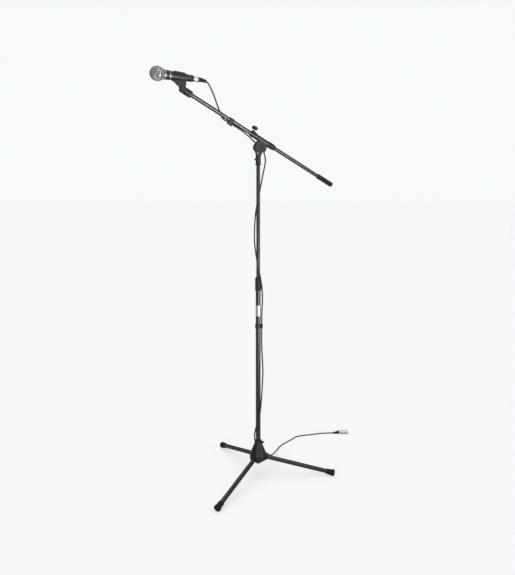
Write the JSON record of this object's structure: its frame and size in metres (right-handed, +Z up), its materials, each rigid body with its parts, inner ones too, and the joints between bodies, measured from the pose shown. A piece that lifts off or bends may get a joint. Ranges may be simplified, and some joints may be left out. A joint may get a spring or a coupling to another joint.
{
  "type": "boom microphone stand",
  "caption": "Black folding tripod stand with a telescopic pole and a tilting boom, carrying a handheld microphone in a clip with its lead.",
  "frame": {"origin": "on the floor, on the axis of the pole", "axes": "+Z up along the pole, +X along the right leg's side as seen from the front, +Y to the back; the microphone points to -X -Y"},
  "size_m": [0.8906, 0.7833, 1.7527],
  "materials": {
    "cast black": "satin black powder coat on a casting",
    "tube black": "satin black paint on steel tube",
    "plastic black": "moulded black plastic",
    "clip plastic": "tough black plastic, slightly glossy",
    "rubber black": "moulded black rubber",
    "steel": "zinc plated steel",
    "black steel": "blackened steel",
    "label metal": "plain silver foil plate",
    "mic grey": "dark grey enamel on die-cast metal",
    "mesh": "woven steel wire, dull nickel",
    "chrome": "satin nickel",
    "foam": "windscreen foam round the capsule",
    "cord": "matt black cable jacket",
    "boot": "moulded black strain relief"
  },
  "bodies": {
    "tripod": {"hub": "cast black", "hub_bush": "plastic black", "leg_pins": "steel", "cord_floor": "cord", "plug_shell": "chrome", "plug_boot": "boot", "plug_pins": "chrome"},
    "leg right": {"leg_right": "tube black", "leg_right_fitting": "plastic black", "leg_right_foot": "rubber black"},
    "leg back": {"leg_back": "tube black", "leg_back_fitting": "plastic black", "leg_back_foot": "rubber black"},
    "leg front": {"leg_front": "tube black", "leg_front_fitting": "plastic black", "leg_front_foot": "rubber black"},
    "hub screw": {"hub_thumbscrew": "black steel"},
    "pole": {"lower_tube": "tube black", "lower_tube_plug": "plastic black", "label_plate": "label metal", "pole_clip": "plastic black", "clutch_base": "plastic black", "clutch_collet": "plastic black", "cord_lower": "cord"},
    "clutch": {"clutch_grip": "plastic black"},
    "upper pole": {"upper_tube": "tube black", "upper_bush": "plastic black", "cord_upper": "cord"},
    "head": {"swivel_head": "cast black", "head_screw": "black steel", "pivot_bolt": "black steel", "pivot_washer": "plastic black", "cord_swivel": "cord"},
    "tilt knob": {"tilt_knob": "plastic black"},
    "clamp": {"boom_clamp": "cast black", "clamp_screws": "black steel", "clamp_pad": "plastic black", "cord_pivot": "cord"},
    "boom knob": {"boom_knob": "plastic black", "boom_knob_screw": "steel"},
    "collar": {"boom_collar": "plastic black"},
    "boom": {"boom_tube": "tube black", "boom_stud": "steel", "boom_grip": "rubber black", "boom_clip": "plastic black", "clip_base": "clip plastic", "clip_bolt": "black steel", "cord_boom": "cord"},
    "microphone": {"clip_cradle": "clip plastic", "mic_body": "mic grey", "mic_rings": "chrome", "mic_grille_front": "mesh", "mic_grille_back": "mesh", "mic_band": "mesh", "mic_capsule": "foam", "mic_connector": "plastic black", "lead_socket": "chrome", "socket_boot": "boot", "cord_mic": "cord"}
  },
  "joints": [
    {"name": "leg right fold", "type": "hinge", "parent": "tripod", "child": "leg right", "pos_m": [0.0228, 0, 0.09749], "axis": [0, 1, 0], "range_deg": [0, 74]},
    {"name": "leg back fold", "type": "hinge", "parent": "tripod", "child": "leg back", "pos_m": [-0.01191, 0.01944, 0.09749], "axis": [-0.8526, -0.5225, 0], "range_deg": [0, 74]},
    {"name": "leg front fold", "type": "hinge", "parent": "tripod", "child": "leg front", "pos_m": [-0.01105, -0.01994, 0.09749], "axis": [0.8746, -0.4848, 0], "range_deg": [0, 74]},
    {"name": "hub screw turn", "type": "hinge", "parent": "tripod", "child": "hub screw", "pos_m": [0, 0, 0.1655], "axis": [0.9659, -0.2588, 0], "range_deg": [0, 720]},
    {"name": "pole slide", "type": "slide", "parent": "tripod", "child": "pole", "axis": [0, 0, 1], "range_m": [-0.28, 0], "deforming": ["cord_lower"]},
    {"name": "clutch turn", "type": "hinge", "parent": "pole", "child": "clutch", "pos_m": [0, 0, 0.893], "axis": [0, 0, 1], "range_deg": [0, 180]},
    {"name": "height slide", "type": "slide", "parent": "pole", "child": "upper pole", "axis": [0, 0, 1], "range_m": [-0.47, 0.15], "deforming": ["cord_upper"]},
    {"name": "head swivel", "type": "hinge", "parent": "upper pole", "child": "head", "pos_m": [0, 0, 1.419], "axis": [0, 0, 1], "range_deg": [-180, 180], "deforming": ["cord_swivel"]},
    {"name": "tilt knob turn", "type": "hinge", "parent": "head", "child": "tilt knob", "pos_m": [0, 0, 1.467], "axis": [-0.4955, 0.8686, 0], "range_deg": [0, 720]},
    {"name": "boom tilt", "type": "hinge", "parent": "head", "child": "clamp", "pos_m": [0, 0, 1.467], "axis": [0.4955, -0.8686, 0], "range_deg": [-40, 80], "deforming": ["cord_pivot"]},
    {"name": "boom knob turn", "type": "hinge", "parent": "clamp", "child": "boom knob", "pos_m": [-0.02495, 0.00419, 1.52166], "axis": [0.3889, 0.2218, 0.8942], "range_deg": [0, 720]},
    {"name": "collar turn", "type": "hinge", "parent": "clamp", "child": "collar", "pos_m": [0.00767, 0.02279, 1.50286], "axis": [-0.7767, -0.443, 0.4478], "range_deg": [0, 180]},
    {"name": "boom slide", "type": "slide", "parent": "clamp", "child": "boom", "axis": [-0.7767, -0.443, 0.4478], "range_m": [-0.08, 0.2], "deforming": ["cord_boom"]},
    {"name": "microphone tilt", "type": "hinge", "parent": "boom", "child": "microphone", "pos_m": [-0.28903, -0.14644, 1.6739], "axis": [0.4955, -0.8686, 0], "range_deg": [-38, 85], "deforming": ["cord_mic"]}
  ]
}
